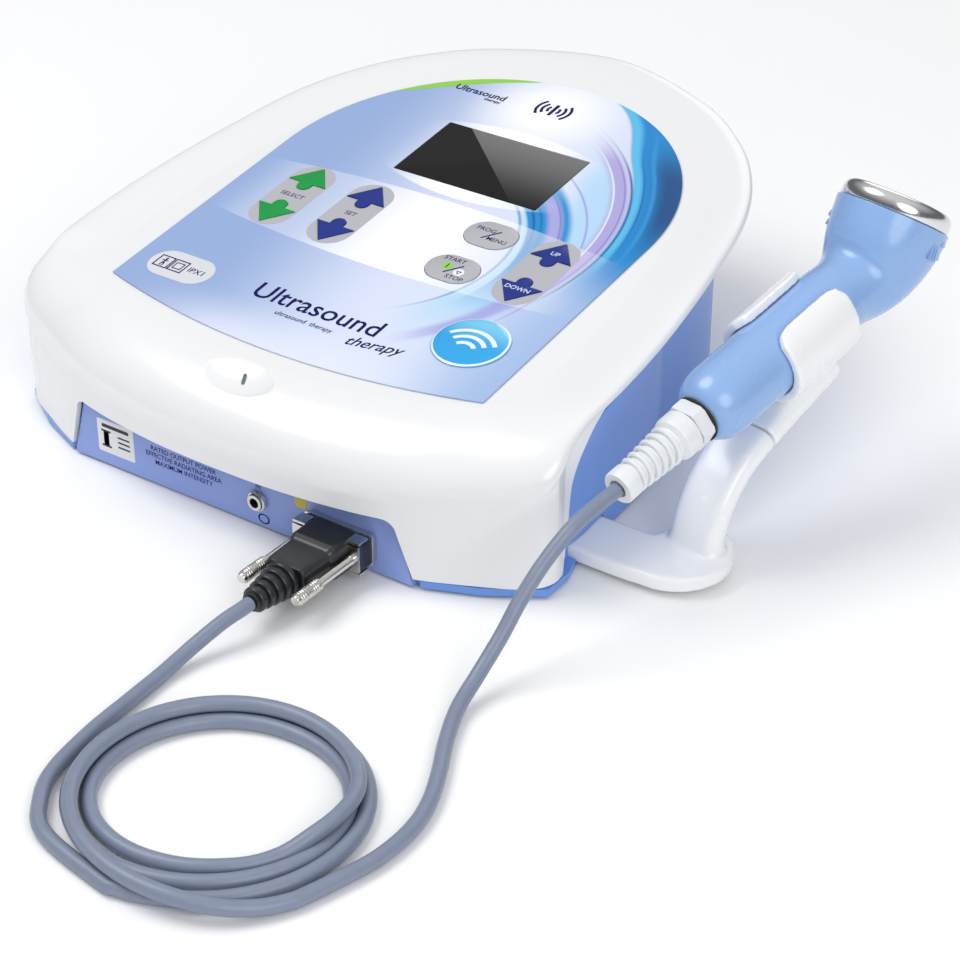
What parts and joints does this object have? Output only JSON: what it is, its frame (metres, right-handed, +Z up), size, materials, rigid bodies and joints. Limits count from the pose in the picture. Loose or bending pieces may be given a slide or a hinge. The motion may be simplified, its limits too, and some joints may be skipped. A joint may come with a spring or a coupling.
{
  "type": "ultrasound therapy device",
  "caption": "Tabletop ultrasound therapy console with keypad and display, a holder arm, and a corded treatment applicator resting in it.",
  "frame": {"origin": "centre of the underside of the console, holder and applicator, at the surface that the feet stand on", "axes": "+X to the user's right, towards the holder arm; +Y to the back; +Z up"},
  "size_m": [0.3305, 0.4598, 0.1241],
  "materials": {
    "cover_white": "gloss",
    "housing_blue": "satin",
    "panel_blue": "satin",
    "keypad_label": "printed polyester film",
    "display_glass": "dark clear window",
    "key_grey": "satin",
    "key_green": "satin",
    "key_navy": "satin",
    "badge_blue": "domed resin",
    "board_green": "solder mask",
    "black_plastic": "satin",
    "rubber_black": "matte",
    "steel_parts": "nickel plated",
    "chrome": "polished",
    "gland_nylon": "satin",
    "lamp_lens": "clear tinted",
    "cord_grey": "satin PVC",
    "ceramic": "fired ceramic",
    "aluminium": "extruded"
  },
  "bodies": {
    "console": {"top_cover": "cover_white", "holder_arm": "cover_white", "holder_cradle": "cover_white", "base_housing": "housing_blue", "front_panel": "panel_blue", "keypad_overlay": "keypad_label", "display_window": "display_glass", "lcd_module": "black_plastic", "keypad_board": "board_green", "main_board": "board_green", "transformer": "steel_parts", "output_heatsink": "aluminium", "buzzer": "black_plastic", "ribbon_cable": "key_grey", "indicator_light": "lamp_lens", "badge": "badge_blue", "mains_inlet": "black_plastic", "switch_frame": "black_plastic", "plug_hood": "black_plastic", "plug_strain_relief": "black_plastic", "foot_1": "rubber_black", "case_screw_1": "steel_parts", "foot_2": "rubber_black", "case_screw_2": "steel_parts", "foot_3": "rubber_black", "case_screw_3": "steel_parts", "foot_4": "rubber_black", "case_screw_4": "steel_parts", "jack_socket": "steel_parts", "jack_nut": "steel_parts", "serial_socket": "steel_parts", "plug_connector": "steel_parts", "saddle_left": "steel_parts", "saddle_right": "steel_parts", "holder_screw_1": "steel_parts", "holder_screw_2": "steel_parts", "lead_to_plug": "cord_grey", "lead_to_handset": "cord_grey", "lead_coil": "cord_grey"},
    "applicator": {"handle_left": "housing_blue", "handle_right": "housing_blue", "treatment_head": "chrome", "head_seal": "rubber_black", "piezo_disc": "ceramic", "gland_gasket": "rubber_black", "gland_nut": "gland_nylon", "gland_cap": "gland_nylon"},
    "power_rocker": {"power_rocker": "black_plastic"},
    "fuse_drawer": {"fuse_drawer": "black_plastic"},
    "thumbscrew_left": {"thumbscrew_left": "steel_parts"},
    "thumbscrew_right": {"thumbscrew_right": "steel_parts"},
    "select_up_key": {"select_up_key": "key_green"},
    "select_down_key": {"select_down_key": "key_green"},
    "set_up_key": {"set_up_key": "key_navy"},
    "set_down_key": {"set_down_key": "key_navy"},
    "level_up_key": {"level_up_key": "key_navy"},
    "level_down_key": {"level_down_key": "key_navy"},
    "prog_menu_key": {"prog_menu_key": "key_grey"},
    "start_stop_key": {"start_stop_key": "key_grey"}
  },
  "joints": [
    {"name": "select_up_press", "type": "slide", "parent": "console", "child": "select_up_key", "axis": [0, 0.1438, -0.9896], "range_m": [0, 0.0005], "stiffness_N_per_m": 400, "springref_m": -0.0001},
    {"name": "select_down_press", "type": "slide", "parent": "console", "child": "select_down_key", "axis": [0, 0.1438, -0.9896], "range_m": [0, 0.0005], "stiffness_N_per_m": 400, "springref_m": -0.0001},
    {"name": "set_up_press", "type": "slide", "parent": "console", "child": "set_up_key", "axis": [0, 0.1438, -0.9896], "range_m": [0, 0.0005], "stiffness_N_per_m": 400, "springref_m": -0.0001},
    {"name": "set_down_press", "type": "slide", "parent": "console", "child": "set_down_key", "axis": [0, 0.1438, -0.9896], "range_m": [0, 0.0005], "stiffness_N_per_m": 400, "springref_m": -0.0001},
    {"name": "level_up_press", "type": "slide", "parent": "console", "child": "level_up_key", "axis": [0, 0.1438, -0.9896], "range_m": [0, 0.0005], "stiffness_N_per_m": 400, "springref_m": -0.0001},
    {"name": "level_down_press", "type": "slide", "parent": "console", "child": "level_down_key", "axis": [0, 0.1438, -0.9896], "range_m": [0, 0.0005], "stiffness_N_per_m": 400, "springref_m": -0.0001},
    {"name": "prog_menu_press", "type": "slide", "parent": "console", "child": "prog_menu_key", "axis": [0, 0.1438, -0.9896], "range_m": [0, 0.0005], "stiffness_N_per_m": 400, "springref_m": -0.0001},
    {"name": "start_stop_press", "type": "slide", "parent": "console", "child": "start_stop_key", "axis": [0, 0.1438, -0.9896], "range_m": [0, 0.0005], "stiffness_N_per_m": 400, "springref_m": -0.0001},
    {"name": "power_switch_tilt", "type": "hinge", "parent": "console", "child": "power_rocker", "pos_m": [-0.0143, 0.1156, 0.034], "axis": [1, 0, 0], "range_deg": [0, 14]},
    {"name": "fuse_drawer_slide", "type": "slide", "parent": "console", "child": "fuse_drawer", "axis": [0, 1, 0], "range_m": [0, 0.012]},
    {"name": "applicator_lift", "type": "slide", "parent": "console", "child": "applicator", "axis": [0.1598, 0.9549, 0.2504], "range_m": [0, 0.09]},
    {"name": "thumbscrew_left_turn", "type": "hinge", "parent": "console", "child": "thumbscrew_left", "pos_m": [0.0044, -0.1565, 0.012], "axis": [0, 1, 0], "continuous": true},
    {"name": "thumbscrew_right_turn", "type": "hinge", "parent": "console", "child": "thumbscrew_right", "pos_m": [0.0294, -0.1565, 0.012], "axis": [0, 1, 0], "continuous": true}
  ]
}
